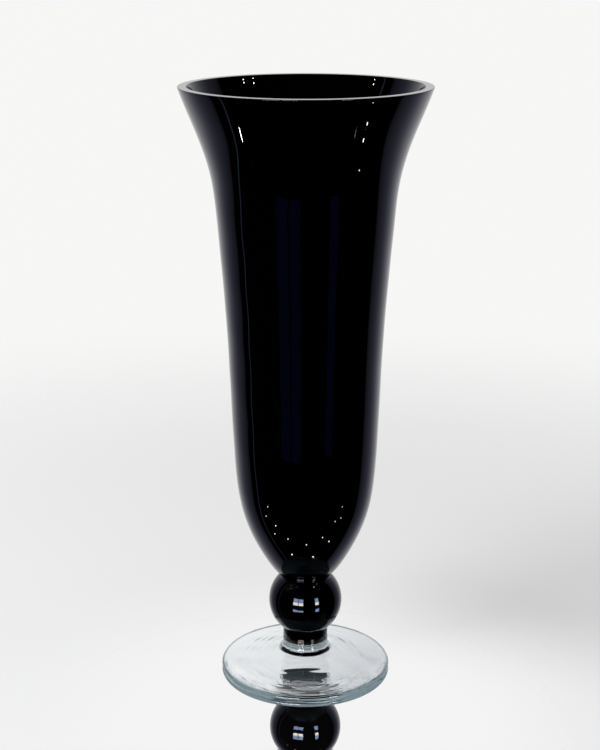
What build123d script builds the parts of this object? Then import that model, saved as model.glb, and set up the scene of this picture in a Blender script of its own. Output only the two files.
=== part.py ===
from build123d import *
import math
import os

# Trumpet vase: a black glass trumpet bowl on a black glass ball and neck, carried by a
# clear glass foot. The foot is a spun disc with a clear button that takes the neck's end.
# Every joint is a hot glass seam: two faces that meet over the same circle.
# Millimetres, +Z up, origin on the table under the middle of the foot.

# Foot disc
foot_diameter = 147.6
foot_edge_thickness = 5.0
foot_top_angle = 12.6
rest_ring_width = 3.3
underside_height = 11.0
boss_height = 18.75

# Clear button between the disc and the neck
button_height = 7.55
flare_radius = 6.3
flare_split_angle = 45.0

# Black neck, whose rounded end beds in the button
neck_diameter = 39.0
neck_length = 10.75
neck_end_depth = 4.0

# Black ball
ball_diameter = 63.8

# Bowl, outside
collar_diameter = 44.6
collar_height = 1.4
cup_height = 108.5
shoulder_diameter = 121.1
wall_height = 205.0
throat_diameter = 145.9
flare_height = 108.0
mouth_diameter = 206.2

# Bowl, inside and rim
wall_thickness = 7.0
floor_thickness = 12.0
rim_arris_radius = 0.6

# Shares (height, radius) that shape each stretch of an outline between its two ends
cup_shares = [(0.235, 0.457), (0.539, 0.818)]
wall_shares = [(0.512, 0.381)]
flare_shares = [(0.324, 0.146), (0.648, 0.505)]
cup_start_slope_share = 2.54
mouth_slope_share = 1.2
end_tangent_shares = [1, 1]
underside_shares = [(0.6187, 0.5)]

# Shares of the outside outline's length, from the collar to the mouth, that the hollow follows
hollow_outline_shares = [0.07, 0.15, 0.27, 0.42, 0.57, 0.7, 0.78, 0.84, 0.9, 0.95]


def stretch(start, end, shares):
    """Points between two outline ends, each at its shares of the rise and of the run."""
    start_radius, start_height = start
    end_radius, end_height = end
    return [
        (
            start_radius + radius_share * (end_radius - start_radius),
            start_height + height_share * (end_height - start_height),
        )
        for height_share, radius_share in shares
    ]


def mean_slope(start, end):
    """Radius gained for each unit of height between two outline ends."""
    return (end[0] - start[0]) / (end[1] - start[1])


# Radii and heights that the pieces share
foot_radius = foot_diameter / 2
edge_radius = foot_edge_thickness / 2
neck_radius = neck_diameter / 2
ball_radius = ball_diameter / 2
collar_radius = collar_diameter / 2
mouth_radius = mouth_diameter / 2

split_angle = math.radians(flare_split_angle)
boss_radius = neck_radius + flare_radius * (1 - math.cos(split_angle))
flare_top = boss_height + flare_radius * math.sin(split_angle)
lip_height = boss_height + button_height
neck_end = lip_height - neck_end_depth
ball_low = lip_height + neck_length
ball_centre = ball_low + math.sqrt(ball_radius**2 - neck_radius**2)
ball_high = ball_centre + math.sqrt(ball_radius**2 - collar_radius**2)
collar_top = ball_high + collar_height
shoulder_level = collar_top + cup_height
throat_level = shoulder_level + wall_height
mouth_level = throat_level + flare_height

# Foot disc: hollow underside, flat resting ring, rounded edge, sloping top and boss
top_angle = math.radians(foot_top_angle)
slope_down = (math.cos(top_angle), -math.sin(top_angle))
flare_centre = (neck_radius + flare_radius, flare_top)
flare_end = (
    flare_centre[0] - flare_radius * math.sin(top_angle),
    flare_centre[1] - flare_radius * math.cos(top_angle),
)
edge_centre = (foot_radius - edge_radius, edge_radius)
edge_top = (
    edge_centre[0] + edge_radius * math.sin(top_angle),
    edge_centre[1] + edge_radius * math.cos(top_angle),
)
ring_outer = (edge_centre[0], 0)
ring_inner = (edge_centre[0] - rest_ring_width, 0)
underside_crown = (0, underside_height)
underside_middle = stretch((0, 0), (ring_inner[0], underside_height), underside_shares)

with BuildPart() as foot_disc:
    with BuildSketch(Plane.XZ):
        with BuildLine():
            Polyline(underside_crown, (0, boss_height), (boss_radius, boss_height))
            CenterArc(
                flare_centre,
                flare_radius,
                180 + flare_split_angle,
                90 - flare_split_angle - foot_top_angle,
            )
            Spline(flare_end, edge_top, tangents=[slope_down, slope_down])
            CenterArc(edge_centre, edge_radius, -90, 180 - foot_top_angle)
            Line(ring_outer, ring_inner)
            Spline(ring_inner, *underside_middle, underside_crown, tangents=[(-1, 0), (-1, 0)])
        make_face()
    revolve(axis=Axis.Z)
foot_disc.part.label = "foot_disc"

# Clear button: a cup on top for the neck's rounded end, an upright side and a flare
with BuildPart() as foot_button:
    with BuildSketch(Plane.XZ):
        with BuildLine():
            TangentArc((0, neck_end), (neck_radius, lip_height), tangent=(1, 0))
            Line((neck_radius, lip_height), (neck_radius, flare_top))
            CenterArc(flare_centre, flare_radius, 180, flare_split_angle)
            Polyline((boss_radius, boss_height), (0, boss_height), (0, neck_end))
        make_face()
    revolve(axis=Axis.Z)
foot_button.part.label = "foot_button"

# Black neck: a short straight stem with a rounded lower end
with BuildPart() as stem_neck:
    with BuildSketch(Plane.XZ):
        with BuildLine():
            TangentArc((0, neck_end), (neck_radius, lip_height), tangent=(1, 0))
            Polyline((neck_radius, lip_height), (neck_radius, ball_low), (0, ball_low), (0, neck_end))
        make_face()
    revolve(axis=Axis.Z)
stem_neck.part.label = "stem_neck"

# Black ball: cut flat below to the neck's circle and above to the bowl's collar
with BuildPart() as ball_knop:
    with BuildSketch(Plane.XZ):
        with BuildLine():
            ThreePointArc((neck_radius, ball_low), (ball_radius, ball_centre), (collar_radius, ball_high))
            Polyline((collar_radius, ball_high), (0, ball_high), (0, ball_low), (neck_radius, ball_low))
        make_face()
    revolve(axis=Axis.Z)
ball_knop.part.label = "ball_knop"

# Bowl: one smooth outline from the collar through cup, wall and flare to the mouth
collar_end = (collar_radius, collar_top)
shoulder = (shoulder_diameter / 2, shoulder_level)
throat = (throat_diameter / 2, throat_level)
mouth = (mouth_radius, mouth_level)
cup_start = Vector(cup_start_slope_share * mean_slope(collar_end, shoulder), 1)
flare_along = Vector(mouth_slope_share * mean_slope(throat, mouth), 1).normalized()

# The rim is ground flat, and a small arris round eases it into the wall on each side
outer_set_back = rim_arris_radius * (1 + flare_along.X) / flare_along.Y
inner_set_back = rim_arris_radius * (1 - flare_along.X) / flare_along.Y
inner_mouth = (mouth_radius - wall_thickness / flare_along.Y, mouth_level)
outer_arris = Vector(mouth) - outer_set_back * flare_along
inner_arris = Vector(inner_mouth) - inner_set_back * flare_along

outside_points = [
    collar_end,
    *stretch(collar_end, shoulder, cup_shares),
    shoulder,
    *stretch(shoulder, throat, wall_shares),
    throat,
    *stretch(throat, mouth, flare_shares),
    outer_arris,
]

# The hollow keeps the wall's thickness, square to the outside, from the cup to the mouth
outside_tangents = [cup_start, flare_along]
outside = Spline(
    *outside_points,
    tangents=outside_tangents,
    tangent_scalars=end_tangent_shares,
    mode=Mode.PRIVATE,
)
hollow_points = []
for share in hollow_outline_shares:
    along = outside.tangent_at(share)
    hollow_points.append(outside.position_at(share) + wall_thickness * Vector(-along.Y, along.X))
hollow_floor = (0, ball_high + floor_thickness)

with BuildPart() as bowl:
    with BuildSketch(Plane.XZ):
        with BuildLine():
            Polyline(hollow_floor, (0, ball_high), (collar_radius, ball_high), collar_end)
            Spline(*outside_points, tangents=outside_tangents, tangent_scalars=end_tangent_shares)
            outer_round = TangentArc(
                outer_arris, (mouth_radius - outer_set_back, mouth_level), tangent=flare_along
            )
            inner_round = TangentArc(
                inner_arris, (inner_mouth[0] + inner_set_back, mouth_level), tangent=flare_along
            )
            Line(outer_round @ 1, inner_round @ 1)
            Spline(
                hollow_floor,
                *hollow_points,
                inner_arris,
                tangents=[(1, 0), flare_along],
                tangent_scalars=end_tangent_shares,
            )
        make_face()
    revolve(axis=Axis.Z)
bowl.part.label = "bowl"

os.makedirs("parts", exist_ok=True)
for piece in (foot_disc, foot_button, stem_neck, ball_knop, bowl):
    export_step(piece.part, f"parts/{piece.part.label}.step")

print(f"vase height {mouth_level:.2f} mm, ball centre {ball_centre:.2f} mm")
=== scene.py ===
"""Black glass trumpet vase on a clear glass foot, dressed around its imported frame.

Every piece is a profile turned about the vase's axis, worked out with numpy in metres, +Z up.
"""

import math

import bpy
import numpy as np
from bpy.props import FloatProperty, FloatVectorProperty, IntProperty, PointerProperty
from bpy.types import Operator, Panel, PropertyGroup
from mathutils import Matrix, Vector


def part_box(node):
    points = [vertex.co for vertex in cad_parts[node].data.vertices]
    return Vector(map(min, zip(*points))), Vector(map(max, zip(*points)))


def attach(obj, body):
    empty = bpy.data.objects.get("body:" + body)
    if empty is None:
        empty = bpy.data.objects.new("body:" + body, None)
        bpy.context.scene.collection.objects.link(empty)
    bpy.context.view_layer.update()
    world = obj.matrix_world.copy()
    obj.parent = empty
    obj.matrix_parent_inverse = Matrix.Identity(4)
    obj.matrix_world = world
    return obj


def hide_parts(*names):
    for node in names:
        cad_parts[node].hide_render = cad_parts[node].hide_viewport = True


bl_info = {
    "name": "Trumpet vase",
    "version": (1, 0, 0),
    "blender": (4, 5, 0),
    "location": "View3D > Sidebar > Vase",
    "description": "Builds a black glass trumpet vase on a clear glass foot around its frame",
    "category": "Add Mesh",
}

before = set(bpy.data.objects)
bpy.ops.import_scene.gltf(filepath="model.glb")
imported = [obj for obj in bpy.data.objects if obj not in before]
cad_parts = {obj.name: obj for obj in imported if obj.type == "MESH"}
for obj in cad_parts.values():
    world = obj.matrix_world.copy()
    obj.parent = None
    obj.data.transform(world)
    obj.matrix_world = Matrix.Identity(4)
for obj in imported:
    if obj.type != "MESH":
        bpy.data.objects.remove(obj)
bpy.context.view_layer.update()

# Levels that the frame gives, in metres
FOOT_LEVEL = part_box("foot_disc")[0].z
LIP_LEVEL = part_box("foot_button")[1].z
NECK_END_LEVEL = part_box("stem_neck")[0].z
BALL_LOW_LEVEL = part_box("ball_knop")[0].z
BALL_HIGH_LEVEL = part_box("ball_knop")[1].z
MOUTH_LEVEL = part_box("bowl")[1].z

# Shares (height, radius) that shape each stretch of the bowl's outline between its two ends
CUP_SHARES = ((0.235, 0.457), (0.539, 0.818))
WALL_SHARES = ((0.512, 0.381),)
FLARE_SHARES = ((0.324, 0.146), (0.648, 0.505))

# Shares of the outline's length, from the collar to the mouth, that the hollow follows
HOLLOW_SHARES = (0.07, 0.15, 0.27, 0.42, 0.57, 0.7, 0.78, 0.84, 0.9, 0.95)

# Power in the fall of the foot's hollow underside
HOLLOW_POWER = 1.5

# Points along each stretch of a profile
FLAT_POINTS = 4
OUTSIDE_POINTS = 190
INSIDE_POINTS = 110
OUTER_ROUND_POINTS = 10
INNER_ROUND_POINTS = 8
RIM_POINTS = 8
BALL_POINTS = 128
NECK_END_POINTS = 40
NECK_SIDE_POINTS = 24
UNDERSIDE_POINTS = 100
RING_POINTS = 6
EDGE_POINTS = 32
TOP_POINTS = 90
FLARE_POINTS = 36
BUTTON_POINTS = 8

# Edges that turn by more than this stay sharp
SHARP_ANGLE = math.radians(30)

# Waves in the bowl: their lengths, their seed, and how fast they set in from the collar and the rim
BOWL_WAVES = (0.045, 0.06, 0.08, 0.11)
BOWL_SEED = 5
COLLAR_SETTING_IN = 8
RIM_SETTING_IN = 20

# Waves in the foot: lengths of the broad waves and of the rings, and how much shallower the rings are
FOOT_WAVES = (0.02, 0.026, 0.034, 0.045)
FOOT_RINGS = (0.0052, 0.0066, 0.0085, 0.012)
RING_SHALLOWNESS = 2.7

# Lobes of the foot's rings: turns around the foot, depth in metres and start
RING_LOBES = ((1, 0.006, 0.6), (3, 0.002, 0.0), (7, 0.0008, 0.0))

# Seeds of the foot's broad waves and rings
TOP_SEEDS = (11, 31)
BOTTOM_SEEDS = (23, 40)

# Radii between which the clear glass takes on its rim's blue-green, darkened there as painted shade
RIM_TINT_AND_SHADE_RADII = (0.07, 0.0732)

# Wall that the black glass mirrors: its light by how far a direction turns to the back, and a
# softness that lets it fade straight above and below
WALL_STOPS = (
    (0.0, (0.0, 0.0, 0.0)),
    (0.20, (0.0, 0.0, 0.0)),
    (0.25, (0.08, 0.08, 0.12)),
    (0.34, (0.12, 0.12, 0.18)),
    (0.50, (0.18, 0.19, 0.27)),
    (0.62, (0.30, 0.31, 0.40)),
    (0.76, (0.55, 0.55, 0.63)),
    (0.90, (0.78, 0.78, 0.80)),
    (1.0, (0.95, 0.94, 0.94)),
)
POLE_SOFTNESS = 0.02

# Narrow blue strip straight to the left: its rise, its fall and its light
STRIP_RISE = (0.0, 0.008)
STRIP_FALL = (0.036, 0.028)
STRIP_GLOW = (0.17, 0.22, 0.36)

# Surround that the clear glass shows: where it turns from dark to lit, and its light by the ray's path
OVERHEAD = (0.55, 1.0)
OVERHEAD_SHADE = 0.9
SURROUND_TURN = (-0.4, 0.15)
SURROUND_LIT = (0.98, 0.982, 0.985)
SURROUND_ONCE_THROUGH = (0.5, 0.54, 0.56)
SURROUND_THIRD_BOUNCE = (0.2, 0.26, 0.29)
SURROUND_DARK = (0.03, 0.045, 0.055)

# Plain light from all around, for rays that scatter
FILL_GLOW = (0.53, 0.525, 0.53)

# Windows in front of the vase: azimuths and elevations in degrees, distance in metres, and light
WINDOW_AZIMUTHS = ((-38, -23), (-21, -7), (31, 42))
SILL_ELEVATIONS = (-1, 7)
SKY_ELEVATIONS = (7, 19)
WINDOW_DISTANCE = 2.6
SKY_GLOW = (4.05, 5.4, 9.0)
SILL_GLOW = (18.0, 16.2, 14.0)

# Small ceiling lamps: level and radius in metres, corners, light, and places in metres
LAMP_LEVEL = 2.0
LAMP_RADIUS = 0.015
LAMP_CORNERS = 12
LAMP_GLOW = (101.0, 94.0, 86.0)
CEILING_LAMPS = (
    (-3.1, -1.0),
    (-2.0, -0.97),
    (-1.02, -1.0),
    (0.03, -1.05),
    (1.05, -1.1),
    (2.11, -1.2),
    (3.1, -1.15),
    (-2.8, -0.51),
    (-1.78, -0.52),
    (-0.69, -0.48),
    (0.39, -0.54),
    (1.33, -0.6),
    (2.54, -0.83),
)

# Soft key light: place, target and size in metres, and power in watts
KEY_PLACE = (-1.3, -0.7, 1.9)
KEY_TARGET = (0, 0, 0.1)
KEY_SIZE = 1.2
KEY_POWER = 32.0

# Floor as the camera sees it: how far in front of the vase its mirror is centred, radii and shares
# of the mirror, its tint, and where the floor fades into the backdrop
FLOOR_CORNERS = 96
MIRROR_AHEAD = 0.11
MIRROR_RADII = (0.12, 0.34)
MIRROR_SHARES = (0.998, 0.3)
MIRROR_TINT = (0.97, 0.975, 0.98)
FADE_START = 0.4
FADE_END_SHARE = 0.95

# Table as the glass sees it: lean and place of its front edge, turn from its lit side to its
# shaded side, and tints
TABLE_LEAN = 0.08
TABLE_EDGE = (-0.27, -0.23)
SHADE_TURN = (-0.06, 0.07)
LIT_TINT = (0.99, 0.99, 0.99)
SHADED_TINT = (0.74, 0.75, 0.77)
DARK_TINT = (0.002, 0.003, 0.009)


def length(name, default, description):
    """A size in metres that shows in the scene's own unit."""
    return FloatProperty(
        name=name,
        description=description,
        default=default,
        unit="LENGTH",
        subtype="DISTANCE",
        precision=5,
    )


def angle(name, default, description):
    """An angle, given here in degrees."""
    return FloatProperty(
        name=name,
        description=description,
        default=math.radians(default),
        unit="ROTATION",
        subtype="ANGLE",
    )


def share(name, default, description):
    """A plain number, such as a share or a slope."""
    return FloatProperty(name=name, description=description, default=default, precision=4)


def colour(name, default, description):
    """A linear colour without alpha."""
    return FloatVectorProperty(
        name=name, description=description, default=default, size=3, min=0.0, subtype="COLOR"
    )


def number(name, default, description):
    """A whole number."""
    return IntProperty(name=name, description=description, default=default)


class BowlSettings(PropertyGroup):
    """Sizes of the black trumpet bowl."""

    collar_radius: length("Collar radius", 0.0223, "Radius of the collar that sits on the ball")
    collar_height: length("Collar height", 0.0014, "Height of the straight collar")
    shoulder_radius: length("Shoulder radius", 0.06055, "Outside radius between the cup and the wall")
    cup_height: length("Cup height", 0.1085, "Height of the rounded cup above the collar")
    throat_radius: length("Throat radius", 0.07295, "Outside radius between the wall and the flare")
    flare_height: length("Flare height", 0.108, "Height of the flare below the mouth")
    mouth_radius: length("Mouth radius", 0.1031, "Outside radius of the mouth without its round")
    wall: length("Wall", 0.007, "Thickness of the wall, square to the outside")
    floor: length("Floor", 0.012, "Thickness of the glass under the hollow")
    arris: length("Rim arris", 0.0006, "Radius of the round on each edge of the flat rim")
    cup_slope: share("Cup slope", 2.54, "Slope at the collar, in mean slopes of the cup")
    mouth_slope: share("Mouth slope", 1.2, "Slope at the mouth, in mean slopes of the flare")
    ripple: length("Ripple", 0.00005, "Depth of the slow waves in the blown wall")
    around: number("Points around", 256, "Points in each ring")


class StemSettings(PropertyGroup):
    """Sizes of the ball and the neck."""

    ball_radius: length("Ball radius", 0.0319, "Radius of the solid ball")
    neck_radius: length("Neck radius", 0.0195, "Radius of the straight neck")
    around: number("Points around", 256, "Points in each ring")


class FootSettings(PropertyGroup):
    """Sizes of the clear foot with its button."""

    radius: length("Radius", 0.0738, "Radius of the spun foot")
    edge: length("Edge", 0.005, "Thickness of the rounded edge")
    slope: angle("Top slope", 12.6, "Fall of the top from the button to the edge")
    ring: length("Resting ring", 0.0033, "Width of the flat ring that the vase stands on")
    hollow: length("Hollow", 0.011, "Height of the hollow under the foot")
    flare: length("Flare", 0.0063, "Radius of the flare from the button into the top")
    flare_level: length("Flare level", 0.0232, "Height at which the button's side turns upright")
    overlap: length("Overlap", 0.0002, "How far the clear glass laps up and out over the neck")
    ripple: length("Ripple", 0.00008, "Depth of the waves that the tools left in the foot")
    around: number("Points around", 320, "Points in each ring")


class GlassSettings(PropertyGroup):
    """Colours of the two glasses."""

    black: colour("Black glass", (0.0002, 0.0002, 0.0003), "Opaque black of the bowl and the stem")
    black_streak: colour("Black streak", (0.0004, 0.0004, 0.0007), "Faint violet in the black glass")
    clear: colour("Clear glass", (0.975, 0.987, 0.99), "Clear glass of the foot")
    clear_streak: colour("Clear streak", (0.985, 0.993, 0.995), "Paler cords in the clear glass")
    # The rim's colour is the glass's own blue-green, made darker as painted shade for light's long
    # path edge-on
    rim: colour("Rim", (0.5, 0.61, 0.645), "Blue-green of the foot's rim")
    index: share("Refractive index", 1.52, "How strongly the glass bends light")


class StageSettings(PropertyGroup):
    """Floor, camera and bounces of light."""

    pale: colour("Backdrop", (0.93, 0.925, 0.92), "Pale backdrop")
    floor: colour("Floor", (0.86, 0.865, 0.87), "Pale floor")
    floor_drop: length("Floor drop", 0.0002, "Gap between the resting ring and the floor")
    floor_radius: length("Floor radius", 1.3, "Radius of the floor's disc")
    eye: FloatVectorProperty(
        name="Camera",
        description="Place of the camera",
        default=(-0.0047, -1.25626, 0.63745),
        subtype="XYZ",
    )
    tilt: angle("Camera tilt", 16.4365, "How far the camera looks below the level")
    lens: FloatProperty(name="Lens", description="Focal length in millimetres", default=74.62)
    bounces: number("Bounces", 24, "Bounces that light takes inside the glass")


class VaseSettings(PropertyGroup):
    """All of the vase's settings."""

    bowl: PointerProperty(type=BowlSettings)
    stem: PointerProperty(type=StemSettings)
    foot: PointerProperty(type=FootSettings)
    glass: PointerProperty(type=GlassSettings)
    stage: PointerProperty(type=StageSettings)


# Curves and surfaces


def stretch(start, end, shares):
    """Points between two outline ends, each at its shares of the rise and of the run."""
    heights, radii = np.array(shares).T
    return np.array(start) + np.stack([radii, heights], axis=1) * np.subtract(end, start)


def mean_slope(start, end):
    """Radius gained for each unit of height between two outline ends."""
    return (end[0] - start[0]) / (end[1] - start[1])


def unit(vector):
    """The vector at length one."""
    return np.asarray(vector, float) / np.linalg.norm(vector)


class SmoothCurve:
    """A cubic curve through points, by chord length, with unit tangents at both ends.

    The inner tangents solve the equations that carry the second derivative on through every
    point. Between two points the curve is the Hermite cubic of the two points and their tangents.
    """

    def __init__(self, points, start, end):
        self.points = np.asarray(points, float)
        self.steps = np.linalg.norm(np.diff(self.points, axis=0), axis=1)
        self.knots = np.concatenate([[0.0], np.cumsum(self.steps)])
        count = len(self.points)
        inner = np.arange(1, count - 1)
        before, after = self.steps[:-1], self.steps[1:]
        system = np.zeros((count, count))
        system[0, 0] = system[-1, -1] = 1
        system[inner, inner - 1] = after
        system[inner, inner] = 2 * (before + after)
        system[inner, inner + 1] = before
        chords = np.diff(self.points, axis=0) / self.steps[:, None]
        right = np.empty((count, 2))
        right[0], right[-1] = unit(start), unit(end)
        right[1:-1] = 3 * (after[:, None] * chords[:-1] + before[:, None] * chords[1:])
        self.tangents = np.linalg.solve(system, right)

    def at(self, shares):
        """Points and unit tangents at shares of the whole parameter."""
        place = np.asarray(shares, float) * self.knots[-1]
        span = np.clip(np.searchsorted(self.knots, place) - 1, 0, len(self.steps) - 1)
        step = self.steps[span][:, None]
        t = ((place - self.knots[span]) / self.steps[span])[:, None]
        p0, p1 = self.points[span], self.points[span + 1]
        m0, m1 = self.tangents[span] * step, self.tangents[span + 1] * step
        points = (2 * t**3 - 3 * t**2 + 1) * p0 + (t**3 - 2 * t**2 + t) * m0
        points += (3 * t**2 - 2 * t**3) * p1 + (t**3 - t**2) * m1
        along = (6 * t**2 - 6 * t) * (p0 - p1)
        along = along + (3 * t**2 - 4 * t + 1) * m0 + (3 * t**2 - 2 * t) * m1
        return points, along / np.linalg.norm(along, axis=1)[:, None]


def arc(centre, radius, start, end, count):
    """Points on a circle of the given centre and radius, from one angle to another."""
    angles = np.linspace(start, end, count)
    return np.array(centre) + radius * np.stack([np.cos(angles), np.sin(angles)], axis=1)


def line(start, end, count):
    """Evenly spaced points from start to end."""
    return np.linspace(start, end, count)


def joined(*stretches):
    """One profile of stretches that each start where the one before ends."""
    return np.concatenate([stretches[0], *(points[1:] for points in stretches[1:])])


def waves(first, second, lengths, depth, seed):
    """Sum of plane sine waves over two coordinates, one wave for each length.

    Each wave is sin(2 pi (first cos t + second sin t) / wave + phase), with t and phase drawn at
    random. The whole sum has the given depth as its root mean square height.
    """
    draw = np.random.default_rng(seed)
    total = np.zeros(np.broadcast(first, second).shape)
    for wave in lengths:
        turn, phase = draw.uniform(0, 2 * np.pi, 2)
        total += np.sin(2 * np.pi / wave * (first * np.cos(turn) + second * np.sin(turn)) + phase)
    return depth * total / math.sqrt(len(lengths) / 2)


def linked(name, data):
    """An object for a mesh, a light or a camera, in the scene."""
    item = bpy.data.objects.new(name, data)
    bpy.context.scene.collection.objects.link(item)
    return item


def turned(name, profile, around, sway=None):
    """Mesh of a profile turned about the Z axis, with a single point where the profile meets it.

    Point (i, j) is (r cos a, r sin a, z), with (r, z) the profile's point i and a the angle of
    spoke j. The profile runs from the lower pole up the outside, so that faces point outwards.
    sway takes the grid of angles, radii and heights and returns what it adds to the radii and to
    the heights.
    """
    inner = np.asarray(profile, float)[1:-1]
    angles = np.linspace(0, 2 * np.pi, around, endpoint=False)
    radii = np.repeat(inner[:, :1], around, axis=1)
    heights = np.repeat(inner[:, 1:], around, axis=1)
    if sway is not None:
        extra_radii, extra_heights = sway(np.broadcast_to(angles, radii.shape), radii, heights)
        radii, heights = radii + extra_radii, heights + extra_heights
    rings = np.stack([radii * np.cos(angles), radii * np.sin(angles), heights], axis=-1)
    poles = np.array([(0, 0, profile[0][1]), (0, 0, profile[-1][1])])
    points = np.concatenate([rings.reshape(-1, 3), poles])

    spoke = np.arange(around)
    following = np.roll(spoke, -1)
    lower = around * np.arange(len(inner) - 1)[:, None]
    upper = lower + around
    corners = [lower + spoke, lower + following, upper + following, upper + spoke]
    quads = np.stack(corners, axis=-1).reshape(-1, 4)
    last_ring = around * (len(inner) - 1)
    low_pole = np.full(around, len(points) - 2)
    high_pole = np.full(around, len(points) - 1)
    low_fan = np.stack([low_pole, following, spoke], axis=1)
    high_fan = np.stack([last_ring + spoke, last_ring + following, high_pole], axis=1)

    mesh = bpy.data.meshes.new(name)
    mesh.from_pydata(points.tolist(), [], quads.tolist() + low_fan.tolist() + high_fan.tolist())
    mesh.shade_smooth()
    mesh.set_sharp_from_angle(angle=SHARP_ANGLE)
    return linked(name, mesh)


# Shader maths


class Wire:
    """A node's output, on which sums and products add Math nodes to the same tree."""

    def __init__(self, shader, output):
        self.shader = shader
        self.output = output

    def maths(self, operation, first, second):
        """A Math node of the operation on two numbers or wires."""
        return self.shader.add("ShaderNodeMath", {"operation": operation}, {0: first, 1: second})

    def __add__(self, other):
        return self.maths("ADD", self, other)

    def __sub__(self, other):
        return self.maths("SUBTRACT", self, other)

    def __rsub__(self, other):
        return self.maths("SUBTRACT", other, self)

    def __mul__(self, other):
        return self.maths("MULTIPLY", self, other)

    def __truediv__(self, other):
        return self.maths("DIVIDE", self, other)

    def __pow__(self, other):
        return self.maths("POWER", self, other)

    def __lt__(self, other):
        return self.maths("LESS_THAN", self, other)

    def __gt__(self, other):
        return self.maths("GREATER_THAN", self, other)

    __radd__ = __add__
    __rmul__ = __mul__

    def larger(self, other):
        """The larger of this and another."""
        return self.maths("MAXIMUM", self, other)

    def at_least(self, count):
        """1 where this whole number is the count or more, else 0."""
        return self > count - 0.5

    def at_most(self, count):
        """1 where this whole number is the count or less, else 0."""
        return self < count + 0.5


class Shader:
    """The node tree of a material or a world."""

    def __init__(self, owner):
        owner.use_nodes = True
        self.tree = owner.node_tree
        self.tree.nodes.clear()

    def add(self, kind, settings=None, sockets=None, output=0):
        """A node of the kind, with its settings and then its sockets, as the wire of one output."""
        node = self.tree.nodes.new(kind)
        for name, value in (settings or {}).items():
            if name == "stops":
                self.set_stops(node.color_ramp, value)
            else:
                setattr(node, name, value)
        for name, value in (sockets or {}).items():
            if isinstance(value, Wire):
                self.tree.links.new(value.output, node.inputs[name])
            else:
                node.inputs[name].default_value = value
        return Wire(self, node.outputs[output] if node.outputs else None)

    @staticmethod
    def set_stops(ramp, stops):
        """Gives a colour ramp its stops, each a place and a colour."""
        while len(ramp.elements) < len(stops):
            ramp.elements.new(1.0)
        for element, (place, stop_colour) in zip(ramp.elements, stops):
            element.position = place
            element.color = (*stop_colour, 1.0)

    def twin(self, wire, output):
        """Another output of the node that a wire comes from."""
        return Wire(self, wire.output.node.outputs[output])

    def blend(self, factor, first, second):
        """Colour between two colours or wires, by a factor from 0 to 1."""
        return self.add(
            "ShaderNodeMix",
            {"data_type": "RGBA"},
            {0: factor, 6: opaque(first), 7: opaque(second)},
            output=2,
        )

    def mix(self, factor, first, second):
        """Surface between two surfaces, by a factor from 0 to 1."""
        return self.add("ShaderNodeMixShader", None, {0: factor, 1: first, 2: second})

    def ramp_between(self, value, low, high, start=0.0, end=1.0):
        """A smooth step from start to end as the value goes from low to high."""
        return self.add(
            "ShaderNodeMapRange",
            {"interpolation_type": "SMOOTHSTEP"},
            {"Value": value, "From Min": low, "From Max": high, "To Min": start, "To Max": end},
        )

    def place(self):
        """Object coordinates."""
        return self.add("ShaderNodeTexCoord", output="Object")

    def noise(self, scale, detail=2.0):
        """Soft noise from 0 to 1 over object coordinates, scaled along each axis."""
        scaled = self.add("ShaderNodeMapping", None, {"Vector": self.place(), "Scale": scale})
        sockets = {"Vector": scaled, "Scale": 1.0, "Detail": detail}
        return self.add("ShaderNodeTexNoise", None, sockets)

    def split(self, vector):
        """The three parts of a vector."""
        across = self.add("ShaderNodeSeparateXYZ", None, {"Vector": vector}, output="X")
        return across, self.twin(across, "Y"), self.twin(across, "Z")

    def mirror(self, tint):
        """A sharp mirror of a tint."""
        sockets = {"Color": opaque(tint), "Roughness": 0.0}
        return self.add("ShaderNodeBsdfAnisotropic", None, sockets)

    def show(self, surface):
        """Gives the material its surface."""
        self.add("ShaderNodeOutputMaterial", None, {"Surface": surface})


def opaque(value):
    """A colour with full alpha, or a wire as it is."""
    return value if isinstance(value, Wire) else (*value, 1.0)


def black_glass(glass):
    """Opaque black glass: fire-polished, with faint upright streaks and a slight, patchy haze."""
    material = bpy.data.materials.new("blown_black_glass")
    shader = Shader(material)
    streaks = shader.noise((40, 40, 3))
    haze = shader.noise((22, 22, 9), detail=4.0)
    swell = shader.noise((26, 26, 12), detail=1.0)
    bump_sockets = {"Strength": 0.05, "Distance": 0.0004, "Height": swell}
    surface = shader.add(
        "ShaderNodeBsdfPrincipled",
        None,
        {
            "Base Color": shader.blend(streaks, tuple(glass.black), tuple(glass.black_streak)),
            "Roughness": 0.008 + 0.012 * haze**2,
            "IOR": glass.index,
            "Normal": shader.add("ShaderNodeBump", None, bump_sockets),
        },
    )
    shader.show(surface)
    return material


def bedded_black(glass):
    """Black glass where it beds in the clear button: no gloss, because no air lies between."""
    material = bpy.data.materials.new("bedded_black_glass")
    shader = Shader(material)
    streaks = shader.noise((60, 60, 60))
    surface = shader.add(
        "ShaderNodeBsdfPrincipled",
        None,
        {
            "Base Color": shader.blend(streaks, tuple(glass.black), (0, 0, 0)),
            "Roughness": 1.0,
            "IOR": 1.0,
            "Specular IOR Level": 0.0,
        },
    )
    shader.show(surface)
    return material


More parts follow.
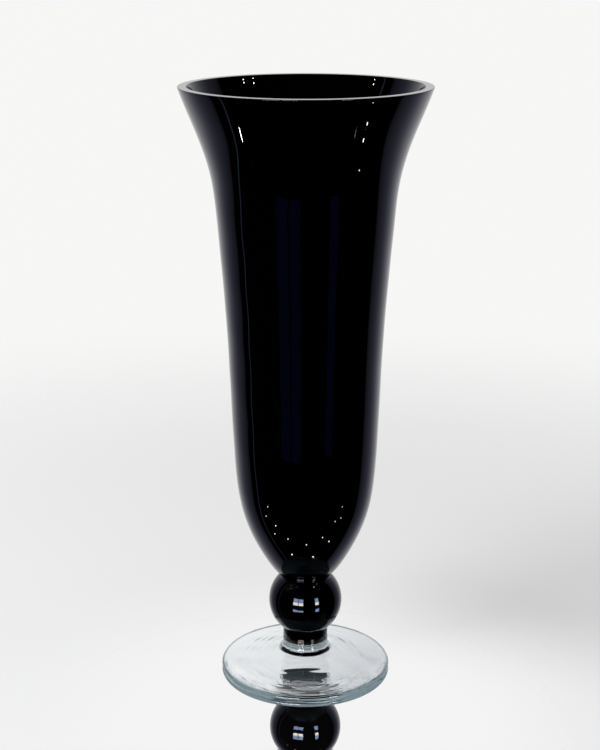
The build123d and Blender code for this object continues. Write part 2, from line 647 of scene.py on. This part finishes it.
def clear_glass(glass):
    """Clear glass: faint paler cords, and the glass's own blue-green in the foot's rim, darkened as
    painted shade.
    """
    material = bpy.data.materials.new("spun_clear_glass")
    shader = Shader(material)
    cords = shader.noise((30, 30, 90))
    across, along, _ = shader.split(shader.place())
    out = (across**2 + along**2) ** 0.5
    body = shader.blend(cords, tuple(glass.clear), tuple(glass.clear_streak))
    # The rim's darker blue-green is painted shade, laid over the glass's own tint
    in_tinted_shaded_rim = shader.ramp_between(out, *RIM_TINT_AND_SHADE_RADII)
    surface = shader.add(
        "ShaderNodeBsdfPrincipled",
        None,
        {
            "Base Color": shader.blend(in_tinted_shaded_rim, body, tuple(glass.rim)),
            "Roughness": 0.005,
            "IOR": glass.index,
            "Transmission Weight": 1.0,
        },
    )
    shader.show(surface)
    return material


def glass_material(name, make, glass):
    """The named material, made once."""
    return bpy.data.materials.get(name) or make(glass)


# Profiles


def bowl_outline(bowl):
    """The outside of the bowl as a smooth curve, with the direction of the flare at the mouth."""
    collar = (bowl.collar_radius, BALL_HIGH_LEVEL + bowl.collar_height)
    shoulder = (bowl.shoulder_radius, collar[1] + bowl.cup_height)
    throat = (bowl.throat_radius, MOUTH_LEVEL - bowl.flare_height)
    mouth = (bowl.mouth_radius, MOUTH_LEVEL)
    cup_start = (bowl.cup_slope * mean_slope(collar, shoulder), 1)
    flare_along = unit((bowl.mouth_slope * mean_slope(throat, mouth), 1))
    set_back = bowl.arris * (1 + flare_along[0]) / flare_along[1]
    points = np.concatenate(
        [
            [collar],
            stretch(collar, shoulder, CUP_SHARES),
            [shoulder],
            stretch(shoulder, throat, WALL_SHARES),
            [throat],
            stretch(throat, mouth, FLARE_SHARES),
            [np.array(mouth) - set_back * flare_along],
        ]
    )
    return SmoothCurve(points, cup_start, flare_along), flare_along


def bowl_profile(bowl):
    """Profile of the bowl: collar, outside, flat rim with a round on each edge, hollow.

    The hollow is a smooth curve through points one wall square inside the outline. Each arris
    round touches the flare and the flat rim, so its centre lies one radius below the rim.
    """
    outline, flare_along = bowl_outline(bowl)
    outside, _ = outline.at(np.linspace(0, 1, OUTSIDE_POINTS))
    quarter = math.pi / 2
    lean = math.atan2(flare_along[1], flare_along[0])
    inward = np.array((-flare_along[1], flare_along[0]))
    outer_centre = outside[-1] + bowl.arris * inward
    inner_mouth = np.array((bowl.mouth_radius - bowl.wall / flare_along[1], MOUTH_LEVEL))
    inner_arris = inner_mouth - bowl.arris * (1 - flare_along[0]) / flare_along[1] * flare_along
    inner_centre = inner_arris - bowl.arris * inward
    outer_round = arc(outer_centre, bowl.arris, lean - quarter, quarter, OUTER_ROUND_POINTS)
    inner_round = arc(inner_centre, bowl.arris, quarter, lean + quarter, INNER_ROUND_POINTS)
    hollow_floor = np.array((0, BALL_HIGH_LEVEL + bowl.floor))
    followed, along = outline.at(HOLLOW_SHARES)
    hollow_points = followed + bowl.wall * np.stack([-along[:, 1], along[:, 0]], axis=1)
    hollow = SmoothCurve([hollow_floor, *hollow_points, inner_arris], (1, 0), flare_along)
    inside, _ = hollow.at(np.linspace(1, 0, INSIDE_POINTS))
    bottom = line((0, BALL_HIGH_LEVEL), (bowl.collar_radius, BALL_HIGH_LEVEL), FLAT_POINTS)
    collar = line(bottom[-1], outside[0], FLAT_POINTS)
    flat = line(outer_round[-1], inner_round[0], RIM_POINTS)
    return joined(bottom, collar, outside, outer_round, flat, inner_round, inside)


def ball_profile(stem):
    """Profile of the ball: an arc of its circle between the neck's circle and the bowl's collar."""
    centre = BALL_LOW_LEVEL + math.sqrt(stem.ball_radius**2 - stem.neck_radius**2)
    low = math.asin((BALL_LOW_LEVEL - centre) / stem.ball_radius)
    high = math.asin((BALL_HIGH_LEVEL - centre) / stem.ball_radius)
    side = arc((0, centre), stem.ball_radius, low, high, BALL_POINTS)
    bottom = line((0, BALL_LOW_LEVEL), side[0], FLAT_POINTS)
    top = line(side[-1], (0, BALL_HIGH_LEVEL), FLAT_POINTS)
    return joined(bottom, side, top)


def neck_profile(stem):
    """Profile of the neck: a rounded end and the straight side.

    The end is the parabola z = e + (l - e) (r / R)^2, with e the level of its middle, l the level
    of the button's lip and R the neck's radius.
    """
    radii = np.linspace(0, stem.neck_radius, NECK_END_POINTS)
    rise = (LIP_LEVEL - NECK_END_LEVEL) * (radii / stem.neck_radius) ** 2
    end = np.stack([radii, NECK_END_LEVEL + rise], axis=1)
    side = line(end[-1], (stem.neck_radius, BALL_LOW_LEVEL), NECK_SIDE_POINTS)
    top = line(side[-1], (0, BALL_LOW_LEVEL), FLAT_POINTS)
    return joined(end, side, top)


def foot_profile(foot, stem):
    """Profile of the clear foot: hollow, resting ring, round edge, sloping top, flare and button.

    The hollow falls from its crown as (1 - q)^p (1 + p q), with q the share of the ring's radius
    and p the hollow's power. The top is the Hermite cubic between the edge and the flare, at the
    same slope on both ends. The button's upper end closes inside the black neck.
    """
    edge_radius = foot.edge / 2
    ring_outer = foot.radius - edge_radius
    ring_inner = ring_outer - foot.ring
    q = np.linspace(0, 1, UNDERSIDE_POINTS)
    hollow = foot.hollow * (1 - q) ** HOLLOW_POWER * (1 + HOLLOW_POWER * q)
    underside = np.stack([ring_inner * q, FOOT_LEVEL + hollow], axis=1)
    ring = line(underside[-1], (ring_outer, FOOT_LEVEL), RING_POINTS)
    edge_centre = (ring_outer, FOOT_LEVEL + edge_radius)
    edge = arc(edge_centre, edge_radius, -math.pi / 2, math.pi / 2 - foot.slope, EDGE_POINTS)
    button_radius = stem.neck_radius + foot.overlap
    flare_centre = (button_radius + foot.flare, foot.flare_level)
    flare = arc(flare_centre, foot.flare, 1.5 * math.pi - foot.slope, math.pi, FLARE_POINTS)
    uphill = (-math.cos(foot.slope), math.sin(foot.slope))
    slope = SmoothCurve([edge[-1], flare[0]], uphill, uphill)
    top, _ = slope.at(np.linspace(0, 1, TOP_POINTS))
    side = line(flare[-1], (button_radius, LIP_LEVEL - foot.overlap), BUTTON_POINTS)
    lap = 4 * foot.overlap
    lip = np.array(
        [
            side[-1],
            (button_radius - foot.overlap, LIP_LEVEL + lap / 2),
            (stem.neck_radius - 2 * foot.overlap, LIP_LEVEL + lap),
            (0, LIP_LEVEL + lap),
        ]
    )
    return joined(underside, ring, edge, top, flare, side, lip)


class VASE_OT_bowl(Operator):
    """Make the black trumpet bowl"""

    bl_idname = "vase.bowl"
    bl_label = "Bowl"

    def execute(self, context):
        settings = context.scene.trumpet_vase
        bowl = settings.bowl

        def sway(angles, radii, heights):
            """Slow waves over the wall, along the ring and up it, none on the collar and the rim."""
            unrolled = bowl.shoulder_radius * np.sin(angles)
            rolled = bowl.shoulder_radius * np.cos(angles) + heights
            depth = waves(unrolled, rolled, BOWL_WAVES, bowl.ripple, BOWL_SEED)
            rise = (heights - BALL_HIGH_LEVEL) / (MOUTH_LEVEL - BALL_HIGH_LEVEL)
            clear_of_collar = np.clip(COLLAR_SETTING_IN * rise, 0, 1)
            clear_of_rim = np.clip(RIM_SETTING_IN * (1 - rise), 0, 1)
            return depth * clear_of_collar * clear_of_rim, np.zeros_like(heights)

        piece = turned("bowl_glass", bowl_profile(bowl), bowl.around, sway)
        piece.data.materials.append(glass_material("blown_black_glass", black_glass, settings.glass))
        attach(piece, "root")
        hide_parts("bowl")
        return {"FINISHED"}


class VASE_OT_stem(Operator):
    """Make the black ball and the black neck under it"""

    bl_idname = "vase.stem"
    bl_label = "Ball and neck"

    def execute(self, context):
        settings = context.scene.trumpet_vase
        stem = settings.stem
        black = glass_material("blown_black_glass", black_glass, settings.glass)
        ball = turned("ball_glass", ball_profile(stem), stem.around)
        neck = turned("neck_glass", neck_profile(stem), stem.around)
        for piece, node in ((ball, "ball_knop"), (neck, "stem_neck")):
            piece.data.materials.append(black)
            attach(piece, "root")
            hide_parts(node)
        neck.data.materials.append(glass_material("bedded_black_glass", bedded_black, settings.glass))
        middles = np.empty(3 * len(neck.data.polygons))
        neck.data.polygons.foreach_get("center", middles)
        bedded = middles.reshape(-1, 3)[:, 2] < LIP_LEVEL
        neck.data.polygons.foreach_set("material_index", bedded.astype(np.int32))
        return {"FINISHED"}


class VASE_OT_foot(Operator):
    """Make the clear foot with its button"""

    bl_idname = "vase.foot"
    bl_label = "Foot"

    def execute(self, context):
        settings = context.scene.trumpet_vase
        foot = settings.foot

        def sway(angles, radii, heights):
            """Broad waves and rings a little off centre in the top, and others in the underside."""
            across, along = radii * np.cos(angles), radii * np.sin(angles)
            lobes = sum(depth * np.sin(turns * angles + start) for turns, depth, start in RING_LOBES)
            ring_depth = foot.ripple / RING_SHALLOWNESS

            def worked(wave_seed, ring_seed):
                """Height of the broad waves and the rings together."""
                broad = waves(across, along, FOOT_WAVES, foot.ripple, wave_seed)
                return broad + waves(radii + lobes, 0, FOOT_RINGS, ring_depth, ring_seed)

            rows = np.arange(len(radii))[:, None]
            below = rows < np.argmax(radii[:, 0])
            clear_of_edge = np.clip((foot.radius - foot.edge - foot.ring - radii) / foot.edge, 0, 1)
            clear_of_button = np.clip((radii - settings.stem.neck_radius) / foot.flare - 1, 0, 1)
            top, bottom = worked(*TOP_SEEDS), worked(*BOTTOM_SEEDS)
            lift = np.where(below, bottom, top * clear_of_button) * clear_of_edge
            return np.zeros_like(radii), lift

        piece = turned("foot_glass", foot_profile(foot, settings.stem), foot.around, sway)
        piece.data.materials.append(glass_material("spun_clear_glass", clear_glass, settings.glass))
        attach(piece, "root")
        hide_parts("foot_button", "foot_disc")
        return {"FINISHED"}


# Stage


def tangent(degrees):
    """The tangent of an angle in degrees."""
    return math.tan(math.radians(degrees))


def sine(degrees):
    """The sine of an angle in degrees."""
    return math.sin(math.radians(degrees))


def make_world(stage):
    """Pale backdrop for the camera and the floor's mirror, and a studio that the glass shows.

    Black glass mirrors a bright wall behind the vase that falls off to the sides, and a dark front
    with windows in it. Clear glass shows a bright surround that is dark in front and overhead; a ray
    straight through the foot finds it lit on both sides. Rays that scatter find a plain fill.
    """
    world = bpy.data.worlds.new("studio")
    bpy.context.scene.world = world
    shader = Shader(world)
    camera_ray = shader.add("ShaderNodeLightPath", output="Is Camera Ray")
    glossy = shader.twin(camera_ray, "Is Glossy Ray")
    sharp = shader.twin(camera_ray, "Is Singular Ray")
    depth = shader.twin(camera_ray, "Ray Depth")
    surfaces = shader.twin(camera_ray, "Transmission Depth")
    bounces = shader.twin(camera_ray, "Glossy Depth")
    through = surfaces.at_least(1)
    mirrored = glossy * (1 - through)
    floor_mirror = mirrored * sharp * depth.at_most(2)
    direction = shader.add("ShaderNodeTexCoord", output="Generated")
    right, back, up = shader.split(direction)

    behind = back / (right**2 + back**2 + POLE_SOFTNESS) ** 0.5
    wall = shader.add("ShaderNodeValToRGB", {"stops": WALL_STOPS}, {"Fac": behind})
    rise = shader.ramp_between(behind, *STRIP_RISE)
    fall = shader.ramp_between(behind, *STRIP_FALL)
    wall = shader.blend((right < 0) * rise * fall, wall, STRIP_GLOW)

    across = right / (0 - back)
    columns = sum((across > tangent(low)) * (across < tangent(high)) for low, high in WINDOW_AZIMUTHS)
    rows = (up > sine(SILL_ELEVATIONS[0])) * (up < sine(SKY_ELEVATIONS[1]))
    panes = shader.blend(up > sine(SKY_ELEVATIONS[0]), SILL_GLOW, SKY_GLOW)
    wall = shader.blend((back < 0) * columns * rows * (1 - sharp), wall, panes)

    straight = surfaces.at_least(4) * bounces.at_most(1)
    away = back.larger(straight * (0 - back))
    overhead = shader.ramp_between(up, *OVERHEAD)
    turn = shader.ramp_between(away - OVERHEAD_SHADE * overhead, *SURROUND_TURN)
    lit = shader.blend(surfaces.at_most(2), SURROUND_LIT, SURROUND_ONCE_THROUGH)
    third_bounce = bounces.at_least(3) * bounces.at_most(3)
    lit = shader.blend(third_bounce, lit, SURROUND_THIRD_BOUNCE)
    surround = shader.blend(turn, SURROUND_DARK, lit)

    seen = shader.blend(through, FILL_GLOW, surround)
    seen = shader.blend(mirrored, seen, wall)
    seen = shader.blend(camera_ray + floor_mirror, seen, tuple(stage.pale))
    background = shader.add("ShaderNodeBackground", None, {"Color": seen, "Strength": 1.0})
    shader.add("ShaderNodeOutputWorld", None, {"Surface": background})


def make_floor(stage):
    """Pale polished floor: a disc that mirrors the foot and fades into the backdrop.

    The camera sees a mirror near the foot that gives way to plain pale floor. Other rays see a
    mirror table that ends in the dark, a little way in front of the vase. Rays through the clear
    glass see the whole floor as that table, shaded at the right.
    """
    material = bpy.data.materials.new("polished_floor")
    shader = Shader(material)
    across, back, _ = shader.split(shader.place())
    camera_ray = shader.add("ShaderNodeLightPath", output="Is Camera Ray")
    through = shader.twin(camera_ray, "Transmission Depth").at_least(1)

    from_mirror = (across**2 + (back + MIRROR_AHEAD) ** 2) ** 0.5
    gloss_share = shader.ramp_between(from_mirror, *MIRROR_RADII, *MIRROR_SHARES)
    paint = shader.add("ShaderNodeBsdfDiffuse", None, {"Color": opaque(stage.floor)})
    shown = shader.mix(gloss_share, paint, shader.mirror(MIRROR_TINT))

    shade = through * shader.ramp_between(across, *SHADE_TURN)
    table = shader.mix(shade, shader.mirror(LIT_TINT), shader.mirror(SHADED_TINT))
    on_table = through.larger(shader.ramp_between(back + TABLE_LEAN * across, *TABLE_EDGE))
    table = shader.mix(on_table, shader.mirror(DARK_TINT), table)
    surface = shader.mix(camera_ray, table, shown)

    out = (across**2 + back**2) ** 0.5
    fade = camera_ray * shader.ramp_between(out, FADE_START, FADE_END_SHARE * stage.floor_radius)
    shader.show(shader.mix(fade, surface, shader.add("ShaderNodeBsdfTransparent")))

    level = FOOT_LEVEL - stage.floor_drop
    angles = np.linspace(0, 2 * np.pi, FLOOR_CORNERS, endpoint=False)
    ring = stage.floor_radius * np.stack([np.cos(angles), np.sin(angles)], axis=1)
    corners = [(x, y, level) for x, y in ring.tolist()]
    staged("floor", corners, [list(range(FLOOR_CORNERS))], material)


def staged(name, corners, faces, material):
    """A piece of flat faces in a material, linked into the scene."""
    mesh = bpy.data.meshes.new(name)
    mesh.from_pydata(corners, [], faces)
    mesh.materials.append(material)
    piece = linked(name, mesh)


def glow_material(name, glow, direct):
    """A glow that shows in black glass alone: in its table reflections and, if direct is 1, straight.

    Every other ray, the floor's own mirror for one, passes through.
    """
    material = bpy.data.materials.new(name)
    shader = Shader(material)
    glossy = shader.add("ShaderNodeLightPath", output="Is Glossy Ray")
    through = shader.twin(glossy, "Transmission Depth").at_least(1)
    sharp = shader.twin(glossy, "Is Singular Ray")
    off_table = sharp * shader.twin(glossy, "Ray Depth").at_least(2)
    shown = glossy * (1 - through) * (off_table + direct * (1 - sharp))
    clear = shader.add("ShaderNodeBsdfTransparent")
    lit = shader.add("ShaderNodeEmission", None, {"Color": opaque(glow), "Strength": 1.0})
    shader.show(shader.mix(shown, clear, lit))
    return material


def make_window(name, azimuths, elevations, material):
    """A pane in front of the vase between two azimuths and two elevations, facing the ball.

    Azimuth is counted in degrees from the camera's side, to the right. The pane's corners lie on a
    flat square to the line from the ball to the pane's middle.
    """
    ball_level = (BALL_LOW_LEVEL + BALL_HIGH_LEVEL) / 2
    azimuth, elevation = math.radians(sum(azimuths) / 2), math.radians(sum(elevations) / 2)
    spread, rise = math.radians(azimuths[1] - azimuths[0]), math.radians(elevations[1] - elevations[0])
    right = np.array((math.cos(azimuth), math.sin(azimuth), 0))
    ahead = np.array((math.sin(azimuth), -math.cos(azimuth), 0))
    outward = math.cos(elevation) * ahead + math.sin(elevation) * np.array((0, 0, 1))
    upward = math.cos(elevation) * np.array((0, 0, 1)) - math.sin(elevation) * ahead
    middle = np.array((0, 0, ball_level)) + WINDOW_DISTANCE * outward
    corners = [
        middle + WINDOW_DISTANCE / 2 * (side * spread * right + level * rise * upward)
        for side, level in ((-1, -1), (1, -1), (1, 1), (-1, 1))
    ]
    staged(name, corners, [(0, 1, 2, 3)], material)


def make_ceiling_lamps():
    """Small round lamps at the ceiling, each a flat disc turned to the vase."""
    angles = np.linspace(0, 2 * np.pi, LAMP_CORNERS, endpoint=False)[:, None]
    corners, faces = [], []
    for across, back in CEILING_LAMPS:
        centre = np.array((across, back, LAMP_LEVEL))
        toward = unit(np.array((0, 0, MOUTH_LEVEL / 2)) - centre)
        right = unit(np.cross(toward, (0, 0, 1)))
        upward = np.cross(right, toward)
        rim = centre + LAMP_RADIUS * (np.cos(angles) * right + np.sin(angles) * upward)
        faces.append(list(range(len(corners), len(corners) + LAMP_CORNERS)))
        corners.extend(rim.tolist())
    staged("ceiling_lamps", corners, faces, glow_material("lamp_glow", LAMP_GLOW, 1.0))


def make_key():
    """A soft light that doesn't show itself, in the glass or to the camera."""
    key = bpy.data.lights.new("key", "AREA")
    key.size = KEY_SIZE
    key.energy = KEY_POWER
    lamp = linked("key", key)
    lamp.location = KEY_PLACE
    aim = Vector(KEY_TARGET) - Vector(KEY_PLACE)
    lamp.rotation_euler = aim.to_track_quat("-Z", "Y").to_euler()
    lamp.visible_camera = False
    lamp.visible_transmission = False
    lamp.visible_glossy = False


def make_lights():
    """The key light, three windows and the small ceiling lamps."""
    make_key()
    sky = glow_material("sky_pane", SKY_GLOW, 0.0)
    sill = glow_material("sill_pane", SILL_GLOW, 0.0)
    for place, azimuths in enumerate(WINDOW_AZIMUTHS):
        make_window(f"window_top_{place}", azimuths, SKY_ELEVATIONS, sky)
        make_window(f"window_low_{place}", azimuths, SILL_ELEVATIONS, sill)
    make_ceiling_lamps()


def make_camera(stage):
    """The camera, at the photograph's angle."""
    camera = bpy.data.cameras.new("camera")
    camera.lens = stage.lens
    camera.dof.use_dof = False
    eye = linked("camera", camera)
    eye.location = stage.eye
    eye.rotation_euler = (math.pi / 2 - stage.tilt, 0, 0)
    bpy.context.scene.camera = eye


class VASE_OT_stage(Operator):
    """Make the floor, the light and the camera"""

    bl_idname = "vase.stage"
    bl_label = "Stage"

    def execute(self, context):
        stage = context.scene.trumpet_vase.stage
        context.scene.view_settings.view_transform = "Standard"
        context.scene.cycles.max_bounces = stage.bounces
        context.scene.cycles.glossy_bounces = stage.bounces
        context.scene.cycles.transmission_bounces = stage.bounces
        make_world(stage)
        make_floor(stage)
        make_lights()
        make_camera(stage)
        return {"FINISHED"}


class VASE_PT_panel(Panel):
    """Lists the vase's pieces and their settings"""

    bl_idname = "VASE_PT_panel"
    bl_label = "Trumpet vase"
    bl_space_type = "VIEW_3D"
    bl_region_type = "UI"
    bl_category = "Vase"

    def draw(self, context):
        settings = context.scene.trumpet_vase
        sections = (
            (VASE_OT_bowl, settings.bowl),
            (VASE_OT_stem, settings.stem),
            (VASE_OT_foot, settings.foot),
            (None, settings.glass),
            (VASE_OT_stage, settings.stage),
        )
        for operator, group in sections:
            box = self.layout.box()
            if operator is not None:
                box.operator(operator.bl_idname)
            for name in group.__annotations__:
                box.prop(group, name)


CLASSES = (
    BowlSettings,
    StemSettings,
    FootSettings,
    GlassSettings,
    StageSettings,
    VaseSettings,
    VASE_OT_bowl,
    VASE_OT_stem,
    VASE_OT_foot,
    VASE_OT_stage,
    VASE_PT_panel,
)


def register():
    """Adds the classes and the scene's settings."""
    for item in CLASSES:
        bpy.utils.register_class(item)
    bpy.types.Scene.trumpet_vase = PointerProperty(type=VaseSettings)


def unregister():
    """Takes the classes and the scene's settings away."""
    del bpy.types.Scene.trumpet_vase
    for item in reversed(CLASSES):
        bpy.utils.unregister_class(item)


def main():
    """Builds the vase and its stage."""
    register()
    bpy.ops.vase.bowl()
    bpy.ops.vase.stem()
    bpy.ops.vase.foot()
    bpy.ops.vase.stage()


if __name__ == "__main__":
    main()
